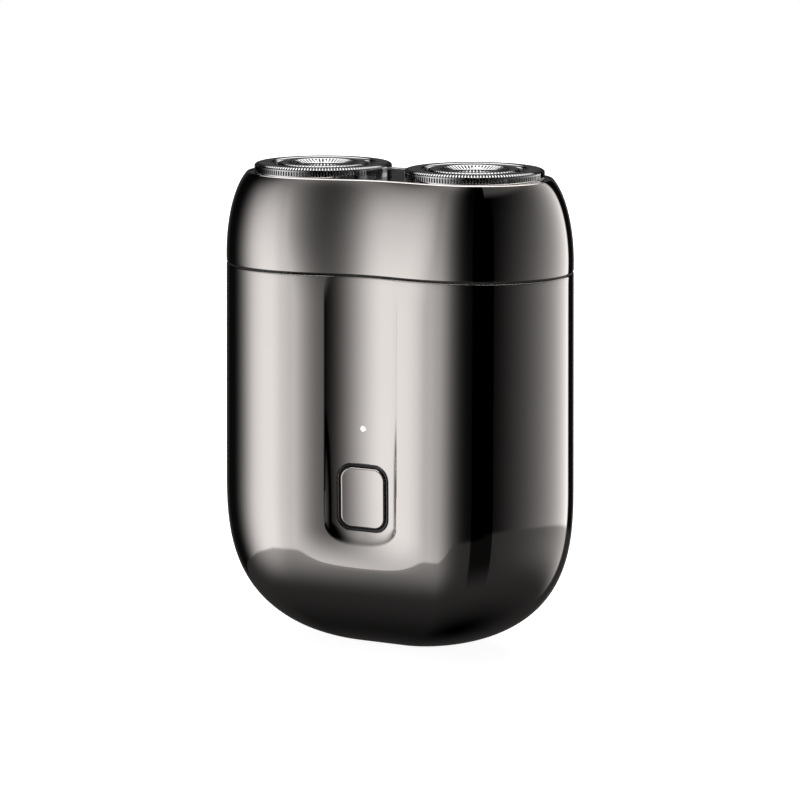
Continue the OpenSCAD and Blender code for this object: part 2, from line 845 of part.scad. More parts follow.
// Steel cap: two raised tracks with a groove between them and a dished middle. Slots run around
// the wall, and from the groove to the dish across the inner track.
module shaver_cap() {
    top = cap_top;
    t = 0.3;
    groove = 0.3;
    dish = 0.62;
    color([0.72, 0.72, 0.74])
        difference() {
            rotate_extrude($fn = 128)
                polygon([[cap_r, carrier_z + 2], [cap_r, top - 0.4], [cap_r - 0.12, top - 0.15],
                    [cap_r - 0.45, top], [track_out, top], [track_out - 0.2, top - groove],
                    [track_in + 0.2, top - groove], [track_in, top], [dish_out, top],
                    [dish_in, top - dish], [0, top - dish], [0, top - dish - t],
                    [dish_in + 0.1, top - dish - t], [dish_out + 0.1, top - t], [track_in - 0.2, top - t],
                    [track_in - 0.05, top - groove - t], [track_out + 0.05, top - groove - t],
                    [track_out + 0.2, top - t], [cap_r - cap_wall, top - t],
                    [cap_r - cap_wall, carrier_z + 2]]);
            for (i = [0 : cap_slots - 1])
                rotate(360 * i / cap_slots)
                    translate([cap_r - 0.8, -0.2, top - 1.25])
                        cube([2, 0.4, 0.72]);
            for (i = [0 : cap_slots / 2 - 1])
                rotate(360 * i / (cap_slots / 2))
                    translate([dish_out + 0.3, -0.2, top - 2])
                        cube([1.4, 0.4, 3]);
        }
}

module cap_carrier() {
    color([0.1, 0.1, 0.11]) {
        tube(cap_r - gap, carrier_bore, carrier_z + 0.7, 1.3);
        tube(flange_r, carrier_bore, carrier_z, 0.8);
    }
}

// Steel cutter: a flat ring with upright blades that reach up into both tracks
module cutter() {
    ring_out = carrier_bore - 0.2;
    foot_z = cutter_z + 0.7;
    tall = cap_top - 0.34 - foot_z;
    low = cap_top - 0.64 - foot_z;
    color([0.78, 0.79, 0.81]) {
        tube(ring_out, 5.9, cutter_z + 0.25, 0.5);
        for (i = [0 : cutter_blades - 1])
            rotate(360 * i / cutter_blades) {
                translate([6.3, -0.6, foot_z])
                    cube([4.6, 0.6, low]);
                translate([track_out + 0.35, -0.6, foot_z])
                    cube([1.3, 0.6, tall]);
                translate([6.3, -0.6, foot_z])
                    cube([track_in - 6.7, 0.6, tall]);
            }
    }
}

module cutter_hub() {
    color([0.93, 0.93, 0.9])
        difference() {
            union() {
                rod(2.8, cutter_z - 2.4, 3.4);
                rod(6.6, cutter_z - 0.6, 0.8);
                rod(5.7, cutter_z + 0.1, 0.7);
            }
            translate([-socket_square / 2, -socket_square / 2, cutter_z - 4])
                cube([socket_square, socket_square, 4.15]);
        }
}

module left() {
    translate([-cap_x, 0, 0])
        children();
}

module right() {
    translate([cap_x, 0, 0])
        children();
}

body_shell();
button_bezel();
light_pipe();
status_led();
circuit_board();
tact_switch();
charge_socket_shell();
charge_socket_tongue();
battery_cell();
battery_tabs();
inner_chassis();
board_screws();
motor_can();
motor_end_cap();
motor_screws();
gearbox_base();
base_seal();
gearbox_cover();
base_screws();
cover_screws();
gear_axles();
spindle_seals();
head_collar();
head_magnets();
button_cap();
switch_plunger();
motor_shaft();
motor_pinion();
left() drive_gear();  // drive_gear_left
right() drive_gear();  // drive_gear_right
left() spindle_spring();  // spindle_spring_left
right() spindle_spring();  // spindle_spring_right
left() drive_spindle();  // drive_spindle_left
right() drive_spindle();  // drive_spindle_right
head_housing();
head_frame();
blade_retainer();
retainer_screws();
hair_chamber();
keeper_plate();
left() shaver_cap();  // shaver_cap_left
right() shaver_cap();  // shaver_cap_right
left() cap_carrier();  // cap_carrier_left
right() cap_carrier();  // cap_carrier_right
left() cutter();  // cutter_left
right() cutter();  // cutter_right
left() cutter_hub();  // cutter_hub_left
right() cutter_hub();  // cutter_hub_right
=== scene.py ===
# Looks of a twin-head rotary shaver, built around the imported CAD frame.
# Shape functions work in millimetres in the CAD frame; meshes are made in metres.
import json
import math

import bmesh
import bpy
import numpy as np
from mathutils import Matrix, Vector


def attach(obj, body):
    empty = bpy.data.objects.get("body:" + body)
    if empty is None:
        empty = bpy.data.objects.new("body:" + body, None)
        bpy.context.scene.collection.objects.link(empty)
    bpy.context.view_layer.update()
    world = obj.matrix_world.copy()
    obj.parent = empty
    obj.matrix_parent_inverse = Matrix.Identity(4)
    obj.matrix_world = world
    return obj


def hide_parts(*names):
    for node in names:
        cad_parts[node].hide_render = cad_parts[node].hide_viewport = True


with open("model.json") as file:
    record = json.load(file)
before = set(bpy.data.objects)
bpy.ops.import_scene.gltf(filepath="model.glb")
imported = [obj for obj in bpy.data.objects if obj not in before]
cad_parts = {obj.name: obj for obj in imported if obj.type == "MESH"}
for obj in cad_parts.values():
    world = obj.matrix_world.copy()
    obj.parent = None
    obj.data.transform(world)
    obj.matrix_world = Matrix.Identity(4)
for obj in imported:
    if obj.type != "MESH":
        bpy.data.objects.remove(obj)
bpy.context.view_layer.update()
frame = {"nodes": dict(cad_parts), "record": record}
nodes = frame["nodes"]
slot_of = {part["node"]: part["material_slot"] for part in frame["record"]["subparts"]}
MM = 0.001

# ---------------------------------------------------------------- sizes (mm)
# Plan, heights and seam are the CAD's. Foot, waist and thumb channel are shaped more finely here.
# Plan, seam and the rounding of the foot
HALF_LEN = 15.0
END_R = 16.0
SEAM_Z = 65.85
SEAM_GAP = 0.3
BODY_TOP = SEAM_Z - SEAM_GAP / 2
HEAD_BOTTOM = SEAM_Z + SEAM_GAP / 2
SEAM_EDGE = 0.26
WALL = 1.5
ROUND_H = 29.7
ROUND_POWER = 2.912
ROUND_TAPER = 17.94
FLAT_CUT = 0.2
FOOT_FLARE = 0.8
# Waist in the front and back, and a slight crown at the ends
PINCH = 1.35
WAIST_HALF = 12.0
WAIST_LOW = 15.8
WAIST_HIGH = 23.0
GENTLE_LOW = 2.0
GENTLE_HIGH = 26.0
WAIST_HEAD_DEEPER = 0.38
WAIST_HEAD_WIDER = 1.7
WAIST_HEAD_FROM = 60.0
WAIST_HEAD_RUN = 15.0
CROWN = 0.27
CROWN_FROM = 13.0
CROWN_TO = 20.0
# Head
RIM_Z = 81.45
SHOULDER_IN = 3.7
SHOULDER_H = 14.55
SHOULDER_CURVE = 0.92
HEAD_WALL = 1.2
HEAD_SEAM_EDGE = 0.12
RIM_WALL = 0.3
RIM_EDGE = 0.08
RIM_DEPTH = 1.2
# Thumb channel
CHANNEL_R = 22.1
CHANNEL_DEPTH = 0.25
CHANNEL_SCOOP = 0.48
CHANNEL_SCOOP_TOP = 44.0
CHANNEL_SCOOP_RUN = 20.0
CHANNEL_HALF = 6.6
CHANNEL_REACH = 10.0
CHANNEL_WALL = 0.9
CHANNEL_END_WALL = 2.2
CHANNEL_END_RUN = 3.5
CHANNEL_TURN_Z = 23.6
CHANNEL_STEEP = 1.7
CHANNEL_SQUARE = 2.4
CREASE = 0.06
# Bezel, button and light, which follow the channel
BUTTON_Z = 28.0
BEZEL_W = 9.3
BEZEL_H = 11.6
BEZEL_R = 2.6
BEZEL_RING = 0.55
BUTTON_PROUD = 0.3
BUTTON_GAP = 0.06
BUTTON_EDGE_H = 0.26
BUTTON_EDGE_W = 0.3
BUTTON_TOP_IN = 0.35
BUTTON_FOOT = 1.5
TRIM = 0.16
TRIM_SUNK = 0.04
LIGHT_R = 0.5
LIGHT_Z = 40.0
LIGHT_GAP = 0.04
LIGHT_SUNK = 0.05
LIGHT_DOME = 0.16
LIGHT_FOOT = 1.3
# Openings cut through the front, and the one for the charging socket
CUT_FRONT = -20.0
CUT_BACK = -9.0
PORT_W = 9.1
PORT_H = 3.36
PORT_R = 1.67
PORT_LOW = -1.0
PORT_HIGH = 6.0
# Shaving caps
CAP_X = 14.0
CAP_R = 11.85
CAP_TOP = 83.0
CAP_FOOT = 80.1
CAP_DISH = 0.67
CAP_SHEET = 0.28
# Mesh of the body: levels are close together where the channel ends
FOOT_LEVELS = 60
DENSE_FROM = 17.0
DENSE_TO = 36.0
DENSE_STEP = 0.25
FRONT_HALF = 9.6


# ---------------------------------------------------------------- shape functions (mm)
def smooth(share):
    """0 up to share 0, 1 from share 1, and level at both ends."""
    share = np.clip(share, 0.0, 1.0)
    return share * share * (3 - 2 * share)


def round_in(z):
    """Share of its full size that the plan has at a height; below 1 in the rounded foot."""
    share = np.clip((z + FLAT_CUT) / ROUND_H, 0.0, 1.0)
    return (1 - (1 - share) ** ROUND_POWER) ** (1 / ROUND_POWER)


def body_r(z):
    return (END_R + FOOT_FLARE * (1 - z / SEAM_Z)) * round_in(z)


def body_c(z):
    return HALF_LEN - ROUND_TAPER * (1 - round_in(z))


def shoulder_drop(share):
    return 1 - np.sqrt(1 - (SHOULDER_CURVE * share) ** 2)


def head_r(z):
    share = np.clip((z - (RIM_Z - SHOULDER_H)) / SHOULDER_H, 0.0, 1.0)
    return END_R - SHOULDER_IN * shoulder_drop(share) / shoulder_drop(1.0)


def waist(x, z, low=WAIST_LOW, high=WAIST_HIGH):
    """How far the outline lies inside a plain stadium: the waist, and a crown at the ends.

    The waist fades out between low and high, above the foot. It is deeper and wider on the head."""
    fade = smooth((z - low) / (high - low))
    upper = smooth((z - WAIST_HEAD_FROM) / WAIST_HEAD_RUN)
    depth = PINCH + WAIST_HEAD_DEEPER * upper
    share = np.clip(np.abs(x) / (WAIST_HALF + WAIST_HEAD_WIDER * upper), 0.0, 1.0)
    crown = CROWN * smooth((np.abs(x) - CROWN_FROM) / (CROWN_TO - CROWN_FROM))
    gentle = smooth((z - GENTLE_LOW) / (GENTLE_HIGH - GENTLE_LOW))
    return depth * fade * np.cos(np.pi / 2 * share) ** 2 + crown * gentle


def channel_y(x, z):
    """Front surface of the thumb channel: a hollow that ends in a square-ish U at its lower end."""
    below = np.maximum(CHANNEL_TURN_Z - z, 0.0) * CHANNEL_STEEP
    away = (np.abs(x) ** CHANNEL_SQUARE + below**CHANNEL_SQUARE) ** (1 / CHANNEL_SQUARE)
    flare = FOOT_FLARE * (1 - z / SEAM_Z)
    scoop = CHANNEL_SCOOP * smooth((CHANNEL_SCOOP_TOP - z) / CHANNEL_SCOOP_RUN)
    depth = PINCH + CHANNEL_DEPTH + scoop
    rise = CHANNEL_R - np.sqrt(np.maximum(CHANNEL_R**2 - away**2, 1.0))
    lip_rise = CHANNEL_R - math.sqrt(CHANNEL_R**2 - CHANNEL_HALF**2)
    # The wall steepens near the lip, so that the channel keeps its width where it is deeper
    extra = np.maximum(depth - lip_rise - waist(x, z), 0.0)
    width = CHANNEL_WALL + CHANNEL_END_WALL * smooth(below / CHANNEL_END_RUN)
    wall = extra * (np.maximum(away - CHANNEL_HALF + width, 0.0) / width) ** 2
    return depth - END_R - flare - rise - wall


def soft_max(a, b, width):
    """The larger of two surfaces, with the crease between them rounded off."""
    near = np.maximum(width - np.abs(a - b), 0.0) / width
    return np.maximum(a, b) + near * near * width / 4


# ---------------------------------------------------------------- mesh helpers
def make_object(name, points, faces, sharp=35.0):
    """A mesh object from points in millimetres; edges over the sharp angle stay crisp."""
    mesh = bpy.data.meshes.new(name)
    mesh.from_pydata((np.asarray(points, float) * MM).tolist(), [], faces)
    mesh.validate()
    ob = bpy.data.objects.new(name, mesh)
    bpy.context.scene.collection.objects.link(ob)
    tidy_mesh(ob, sharp)
    return ob


def tidy_mesh(ob, sharp):
    """Merges doubled points, turns the faces outwards and smooths all but the sharp edges."""
    bm = bmesh.new()
    bm.from_mesh(ob.data)
    bmesh.ops.remove_doubles(bm, verts=bm.verts, dist=1e-8)
    bmesh.ops.recalc_face_normals(bm, faces=bm.faces)
    bm.to_mesh(ob.data)
    bm.free()
    ob.data.polygons.foreach_set("use_smooth", [True] * len(ob.data.polygons))
    ob.data.set_sharp_from_angle(angle=math.radians(sharp))


def loft(name, rings, closed=False, sharp=35.0, centres=None):
    """Joins rings of equal length into a skin. An open skin is capped with a fan at each end."""
    size = len(rings[0])
    count = len(rings)
    points = np.concatenate(rings)
    pairs = [(i, (i + 1) % size) for i in range(size)]
    faces = []
    for level in range(count if closed else count - 1):
        low = level * size
        high = (level + 1) % count * size
        faces += [(low + i, low + j, high + j, high + i) for i, j in pairs]
    if not closed:
        ends = centres or (rings[0].mean(0), rings[-1].mean(0))
        points = np.concatenate([points, np.array(ends)])
        last = (count - 1) * size
        faces += [(j, i, len(points) - 2) for i, j in pairs]
        faces += [(last + i, last + j, len(points) - 1) for i, j in pairs]
    return make_object(name, points, faces, sharp)


def apply_modifiers(ob, sharp):
    """Makes the modifiers' result the object's own mesh."""
    graph = bpy.context.evaluated_depsgraph_get()
    mesh = bpy.data.meshes.new_from_object(ob.evaluated_get(graph))
    ob.modifiers.clear()
    ob.data = mesh
    ob.data.polygons.foreach_set("use_smooth", [True] * len(mesh.polygons))
    ob.data.set_sharp_from_angle(angle=math.radians(sharp))


def cut(ob, cutters, sharp=35.0):
    """Cuts closed meshes out of ob and removes them."""
    for cutter in cutters:
        modifier = ob.modifiers.new("cut", "BOOLEAN")
        modifier.operation = "DIFFERENCE"
        modifier.solver = "EXACT"
        modifier.object = cutter
    apply_modifiers(ob, sharp)
    for cutter in cutters:
        bpy.data.objects.remove(cutter)


def outline(steps_end, steps_back, front_step):
    """Parameters around a stadium: share of the half-length and angle in degrees.

    The middle of the front, where the channel lies, has a point about every front_step mm."""
    right = [(1.0, -90 + 180 * i / steps_end) for i in range(steps_end + 1)]
    back = [(1 - 2 * i / steps_back, 90.0) for i in range(1, steps_back)]
    left = [(-1.0, 90 + 180 * i / steps_end) for i in range(steps_end + 1)]
    count = int(round(2 * FRONT_HALF / front_step)) + 1
    inner = np.linspace(-FRONT_HALF, FRONT_HALF, count) / HALF_LEN
    outer = np.linspace(-1, inner[0], 14)[1:-1]
    front = [(share, 270.0) for share in np.concatenate([outer, inner, -outer[::-1]])]
    return np.array(right + back + left + front)


def stadium_ring(params, c, r, z, groove=False, inset=0.0):
    """One level of a shell, pinched at the waist, with the thumb channel if groove is set."""
    angle = np.radians(params[:, 1])
    sin_a = np.where(params[:, 1] == 270, -1.0, np.where(params[:, 1] == 90, 1.0, np.sin(angle)))
    cos_a = np.where(np.abs(sin_a) == 1, 0.0, np.cos(angle))
    x = params[:, 0] * c + r * cos_a
    pinched = np.where(sin_a < 0, waist(x, z), waist(x, z, GENTLE_LOW, GENTLE_HIGH))
    y = (r - pinched) * sin_a
    if groove:
        hollow = soft_max(y, channel_y(x, z), CREASE)
        y = np.where((y < 0) & (np.abs(x) < CHANNEL_REACH), hollow, y)
    ring = np.stack([x, y], 1)
    if inset:
        along = np.roll(ring, -1, 0) - np.roll(ring, 1, 0)
        along /= np.linalg.norm(along, axis=1)[:, None]
        ring = ring + inset * np.stack([-along[:, 1], along[:, 0]], 1)
    return np.column_stack([ring, np.full(len(ring), z)])


def fillet(radius, steps=4):
    """Insets and drops along a quarter round, from the side up to the top."""
    for i in range(1, steps + 1):
        angle = math.pi / 2 * i / steps
        yield radius * (1 - math.cos(angle)), radius * (1 - math.sin(angle))


def rounded_rect(w, h, r, steps=16, longest=0.35):
    """Points around a rounded rectangle, anticlockwise; gaps over twice the longest are split."""
    points = []
    for sx, sz, start in ((1, 1, 0), (-1, 1, 90), (-1, -1, 180), (1, -1, 270)):
        for i in range(steps + 1):
            angle = math.radians(start + 90 * i / steps)
            x = sx * (w / 2 - r) + r * math.cos(angle)
            z = sz * (h / 2 - r) + r * math.sin(angle)
            points.append((x, z))
    out = []
    for here, after in zip(points, points[1:] + points[:1]):
        parts = max(1, int(math.dist(here, after) / longest))
        dx = after[0] - here[0]
        dz = after[1] - here[1]
        out += [(here[0] + dx * j / parts, here[1] + dz * j / parts) for j in range(parts)]
    return np.array(out)


def face_ring(outline_xz, centre_z, proud):
    """Lays an outline on the channel's surface; proud is how far it stands out of it."""
    x = outline_xz[:, 0]
    z = outline_xz[:, 1] + centre_z
    return np.column_stack([x, channel_y(x, z) - proud, z])


# ---------------------------------------------------------------- body and head skins
def make_body():
    """Outside from the foot up, over the edge at the seam, and down again inside the wall."""
    params = outline(64, 30, 0.15)
    foot = DENSE_FROM * (1 - np.cos(np.linspace(0, math.pi / 2, FOOT_LEVELS)))
    dense = np.arange(DENSE_FROM + DENSE_STEP, DENSE_TO, DENSE_STEP)
    upper = np.linspace(DENSE_TO, BODY_TOP - 0.35, 34)
    levels = np.concatenate([foot, dense, upper])
    rings = [stadium_ring(params, body_c(z), body_r(z), z, True) for z in levels]
    for inset, drop in fillet(SEAM_EDGE):
        z = BODY_TOP - drop
        rings.append(stadium_ring(params, HALF_LEN, body_r(z), z, True, inset))
    inner_levels = np.concatenate([np.linspace(BODY_TOP, 32, 6), np.linspace(29, 1.4, 14)])
    for z in inner_levels:
        level = z + WALL * (1 - min(z, ROUND_H) / ROUND_H)
        ring = stadium_ring(params, body_c(z), body_r(z) - WALL, z)
        ring[:, 2] = level if z < ROUND_H else z
        rings.append(ring)
    floor_z = rings[-1][0, 2]
    body = loft("body_skin", rings, centres=(np.zeros(3), np.array([0.0, 0.0, floor_z])))
    bezel_hole = front_cutter(BEZEL_W + 2 * TRIM, BEZEL_H + 2 * TRIM, BEZEL_R + TRIM, BUTTON_Z)
    light_d = 2 * (LIGHT_R + LIGHT_GAP)
    light_hole = front_cutter(light_d, light_d, light_d / 2, LIGHT_Z)
    cut(body, [bezel_hole, light_hole, port_cutter()])
    return body


def front_cutter(w, h, r, z):
    """A rounded bar through the front wall."""
    rect = rounded_rect(w, h, r - 1e-4)
    near = np.column_stack([rect[:, 0], np.full(len(rect), CUT_FRONT), rect[:, 1] + z])
    far = near.copy()
    far[:, 1] = CUT_BACK
    return loft("cutter", [near, far])


def port_cutter():
    """A rounded bar through the foot, for the charging socket."""
    rect = rounded_rect(PORT_W, PORT_H, PORT_R)
    low = np.column_stack([rect, np.full(len(rect), PORT_LOW)])
    high = low.copy()
    high[:, 2] = PORT_HIGH
    return loft("cutter", [low, high])


def make_head():
    """Outside from the seam up, over the thin rim, and down again inside the wall."""
    params = outline(64, 60, 0.4)
    rings = []
    for inset, drop in reversed(list(fillet(HEAD_SEAM_EDGE))):
        rings.append(stadium_ring(params, HALF_LEN, END_R, HEAD_BOTTOM + drop, inset=inset))
    rings.append(stadium_ring(params, HALF_LEN, END_R, HEAD_BOTTOM + 0.2))
    start = RIM_Z - SHOULDER_H
    for z in start + (SHOULDER_H - 0.14) * np.sin(np.linspace(0, math.pi / 2, 60)):
        rings.append(stadium_ring(params, HALF_LEN, float(head_r(z)), z))
    top_r = float(head_r(RIM_Z))
    for inset, drop in fillet(RIM_EDGE):
        rings.append(stadium_ring(params, HALF_LEN, top_r - inset * 0.8, RIM_Z - drop))
    for inset, drop in ((RIM_WALL - 0.06, 0.0), (RIM_WALL, 0.06), (RIM_WALL, RIM_DEPTH)):
        rings.append(stadium_ring(params, HALF_LEN, top_r - inset, RIM_Z - drop))
    for z in np.linspace(RIM_Z - RIM_DEPTH - 0.1, start, 14):
        rings.append(stadium_ring(params, HALF_LEN, float(head_r(z)) - HEAD_WALL, z))
    rings.append(stadium_ring(params, HALF_LEN, END_R - HEAD_WALL, HEAD_BOTTOM))
    return loft("head_skin", rings, closed=True)


# ---------------------------------------------------------------- button, bezel and light
def bezel_loop(inset, proud):
    """The bezel's outline moved in by inset, standing out of the channel by proud."""
    shape = rounded_rect(BEZEL_W - 2 * inset, BEZEL_H - 2 * inset, BEZEL_R - inset)
    return face_ring(shape, BUTTON_Z, proud)


def make_trim():
    """Bright chamfer of the shell's opening round the bezel."""
    outer = -TRIM - TRIM_SUNK
    profile = [(outer, -1.2), (outer, -0.03), (-TRIM, -0.005), (-0.02, -0.05), (0.0, -0.07), (0.0, -1.2)]
    loops = [bezel_loop(inset, proud) for inset, proud in profile]
    return loft("bezel_trim", loops, closed=True, sharp=50)


def make_bezel():
    """Black ring with softly rounded lips, just below the chamfer."""
    outer = 0.02
    inner = BEZEL_RING
    profile = [
        (outer, -1.4), (outer, -0.1), (outer + 0.05, -0.05), (0.2, -0.03), (inner - 0.15, -0.03),
        (inner - 0.03, -0.08), (inner, -0.16), (inner, -1.4)]
    loops = [bezel_loop(inset, proud) for inset, proud in profile]
    return loft("bezel_ring", loops, closed=True, sharp=50)


def make_button():
    """Mirror button: a rounded edge, then a face that follows the channel."""
    edge = BEZEL_RING + BUTTON_GAP
    low = BUTTON_PROUD - BUTTON_EDGE_H
    loops = [bezel_loop(edge, -BUTTON_FOOT), bezel_loop(edge, low)]
    for angle in np.radians([15, 35, 55, 75, 90]):
        inset = edge + BUTTON_EDGE_W * (1 - math.cos(angle))
        loops.append(bezel_loop(inset, low + BUTTON_EDGE_H * math.sin(angle)))
    top = edge + BUTTON_TOP_IN
    shape = rounded_rect(BEZEL_W - 2 * top, BEZEL_H - 2 * top, BEZEL_R - top)
    for share in np.linspace(1.0, 0.06, 14):
        loops.append(face_ring(shape * share, BUTTON_Z, BUTTON_PROUD))
    return loft("button_face", loops, sharp=50)


def make_light():
    """Small domed lens in the channel."""
    turn = np.linspace(0, 2 * math.pi, 33)[:-1]
    circle = LIGHT_R * np.column_stack([np.cos(turn), np.sin(turn)])
    loops = [face_ring(circle, LIGHT_Z, -LIGHT_FOOT), face_ring(circle, LIGHT_Z, -LIGHT_SUNK)]
    for angle in np.radians([15, 35, 55, 75]):
        proud = LIGHT_DOME * math.sin(angle) - LIGHT_SUNK
        loops.append(face_ring(circle * math.cos(angle), LIGHT_Z, proud))
    return loft("light_lens", loops, sharp=60)


# ---------------------------------------------------------------- shaving caps
SECTORS = 720
SLOTS = {"outer": 144, "middle": 80, "inner": 60}
SLOT_SHARE = 0.55

# Cap profile as radius and drop below the top, and the row of slots that crosses the step to the
# next point: outer in the wall and chamfer, middle in the groove, inner on the cone.
CAP_PROFILE = [
    (CAP_R, CAP_TOP - CAP_FOOT, None), (CAP_R, 1.38, "outer"), (CAP_R, 0.62, None),
    (CAP_R, 0.44, "outer"), (11.80, 0.33, "outer"), (11.68, 0.21, "outer"), (11.48, 0.08, "outer"),
    (11.28, 0.02, "outer"), (11.15, 0.0, None), (10.2, 0.0, None), (9.36, 0.0, None),
    (9.26, 0.03, None), (9.18, 0.12, None), (9.14, 0.26, None), (9.04, 0.33, None),
    (8.5, 0.34, "middle"), (7.95, 0.33, "middle"), (7.86, 0.22, "middle"), (7.78, 0.08, "middle"),
    (7.66, 0.01, "middle"), (7.4, 0.0, None), (6.6, 0.0, None), (6.26, 0.02, None),
    (6.05, 0.09, "inner"), (4.75, 0.54, None), (4.4, 0.63, None), (4.1, 0.66, None),
    (2.4, 0.66, None), (1.0, CAP_DISH, None)]


def make_cap(name, centre_x):
    """The turned profile with its slots left open, thickened inwards to a sheet."""
    turn = 2 * math.pi * np.arange(SECTORS) / SECTORS
    x = np.cos(turn)
    y = np.sin(turn)
    rings = []
    for radius, drop, _ in CAP_PROFILE:
        level = np.full(SECTORS, CAP_TOP - drop)
        rings.append(np.column_stack([centre_x + radius * x, radius * y, level]))
    points = np.concatenate(rings + [np.array([[centre_x, 0.0, CAP_TOP - CAP_DISH]])])
    faces = []
    for step in range(len(CAP_PROFILE) - 1):
        row = CAP_PROFILE[step][2]
        period = SECTORS // SLOTS[row] if row else 1
        low = step * SECTORS
        high = low + SECTORS
        for i in range(SECTORS):
            if row and i % period < SLOT_SHARE * period:
                continue
            j = (i + 1) % SECTORS
            faces.append((low + i, low + j, high + j, high + i))
    last = (len(CAP_PROFILE) - 1) * SECTORS
    faces += [(last + i, last + (i + 1) % SECTORS, len(points) - 1) for i in range(SECTORS)]
    cap = make_object(name, points, faces)
    wall = cap.modifiers.new("wall", "SOLIDIFY")
    wall.thickness = CAP_SHEET * MM
    wall.offset = -1.0
    apply_modifiers(cap, 40)
    return cap


# ---------------------------------------------------------------- materials
# Height in millimetres from which the battery's wrap is silver
SILVER_FROM = 44.5


class Paint:
    """Small helper around one material's node tree."""

    def __init__(self, name, color, metallic=0.0, rough=0.5):
        self.mat = bpy.data.materials.new(name)
        self.mat.use_nodes = True
        self.tree = self.mat.node_tree
        self.bsdf = self.tree.nodes["Principled BSDF"]
        self.bsdf.inputs["Base Color"].default_value = (*color, 1.0)
        self.bsdf.inputs["Metallic"].default_value = metallic
        self.bsdf.inputs["Roughness"].default_value = rough
        coords = self.add("ShaderNodeTexCoord")
        self.place = coords.outputs["Object"]

    def add(self, kind, **values):
        node = self.tree.nodes.new(kind)
        for key, value in values.items():
            setattr(node, key, value)
        return node

    def link(self, a, b):
        self.tree.links.new(a, b)

    def noise(self, scale, detail=3.0, stretch=(1, 1, 1)):
        """Noise in the object's own place; scale is in waves per metre."""
        mapping = self.add("ShaderNodeMapping")
        mapping.inputs["Scale"].default_value = stretch
        self.link(self.place, mapping.inputs["Vector"])
        node = self.add("ShaderNodeTexNoise")
        node.inputs["Scale"].default_value = scale
        node.inputs["Detail"].default_value = detail
        self.link(mapping.outputs["Vector"], node.inputs["Vector"])
        return node.outputs["Fac"]

    def spread(self, value, low, high):
        """Stretches the middle of a noise to run from low to high."""
        node = self.add("ShaderNodeMapRange")
        node.inputs["From Min"].default_value = 0.3
        node.inputs["From Max"].default_value = 0.7
        node.inputs["To Min"].default_value = low
        node.inputs["To Max"].default_value = high
        self.link(value, node.inputs["Value"])
        return node.outputs["Result"]

    def mix(self, value, first, second):
        # Inputs 0, 6 and 7 are the factor and the two colours, and output 2 is their mix
        node = self.add("ShaderNodeMix", data_type="RGBA")
        node.inputs[6].default_value = (*first, 1.0)
        node.inputs[7].default_value = (*second, 1.0)
        self.link(value, node.inputs[0])
        return node.outputs[2]

    def tint(self, value, first, second):
        self.link(self.mix(value, first, second), self.bsdf.inputs["Base Color"])

    def roughen(self, value, low, high):
        self.link(self.spread(value, low, high), self.bsdf.inputs["Roughness"])

    def bump(self, value, strength, distance):
        node = self.add("ShaderNodeBump")
        node.inputs["Strength"].default_value = strength
        node.inputs["Distance"].default_value = distance * MM
        self.link(value, node.inputs["Height"])
        self.link(node.outputs["Normal"], self.bsdf.inputs["Normal"])


def shell_metal():
    """Polished plating with a warm cast, very slightly uneven."""
    warm = (0.80, 0.765, 0.745)
    duller = (0.78, 0.748, 0.732)
    paint = Paint("shell_metal", warm, 1.0, 0.06)
    paint.roughen(paint.noise(90, 2), 0.035, 0.06)
    paint.tint(paint.spread(paint.noise(25, 1), 0, 1), warm, duller)
    return paint.mat


def cap_steel():
    """Bright steel with a fine turned grain."""
    paint = Paint("cap_steel", (0.74, 0.74, 0.75), 1.0, 0.1)
    paint.roughen(paint.noise(1800, 3, (1, 1, 0.15)), 0.06, 0.14)
    paint.bump(paint.noise(2600, 2, (1, 1, 0.1)), 0.05, 0.01)
    return paint.mat


def brushed(name, color, rough, stretch):
    """Metal with a grain drawn out along the axes where stretch is small."""
    paint = Paint(name, color, 1.0, rough)
    grain = paint.noise(900, 4, stretch)
    paint.roughen(grain, rough * 0.75, rough * 1.3)
    paint.tint(paint.spread(grain, 0, 1), color, tuple(c * 0.86 for c in color))
    paint.bump(grain, 0.12, 0.02)
    return paint.mat


def plastic(name, color, rough, grain, depth, coat=0.0):
    """Moulded plastic or rubber with a fine surface grain."""
    paint = Paint(name, color, 0.0, rough)
    fine = paint.noise(grain, 4)
    paint.roughen(fine, rough * 0.85, rough * 1.15)
    paint.tint(paint.spread(paint.noise(120, 2), 0, 1), color, tuple(c * 0.9 for c in color))
    paint.bump(fine, depth, 0.02)
    paint.bsdf.inputs["Coat Weight"].default_value = coat
    paint.bsdf.inputs["Coat Roughness"].default_value = 0.03
    return paint.mat


def circuit_board():
    """Green lacquer over a net of raised tracks."""
    paint = Paint("board", (0.02, 0.16, 0.07), 0.0, 0.3)
    cells = paint.add("ShaderNodeTexVoronoi", feature="DISTANCE_TO_EDGE")
    cells.inputs["Scale"].default_value = 420
    cells.inputs["Randomness"].default_value = 0.25
    paint.link(paint.place, cells.inputs["Vector"])
    tracks = paint.add("ShaderNodeMath", operation="LESS_THAN")
    tracks.inputs[1].default_value = 0.07
    paint.link(cells.outputs["Distance"], tracks.inputs[0])
    paint.tint(tracks.outputs[0], (0.015, 0.13, 0.055), (0.04, 0.26, 0.12))
    paint.bump(tracks.outputs[0], 0.3, 0.03)
    paint.bsdf.inputs["Coat Weight"].default_value = 0.5
    return paint.mat


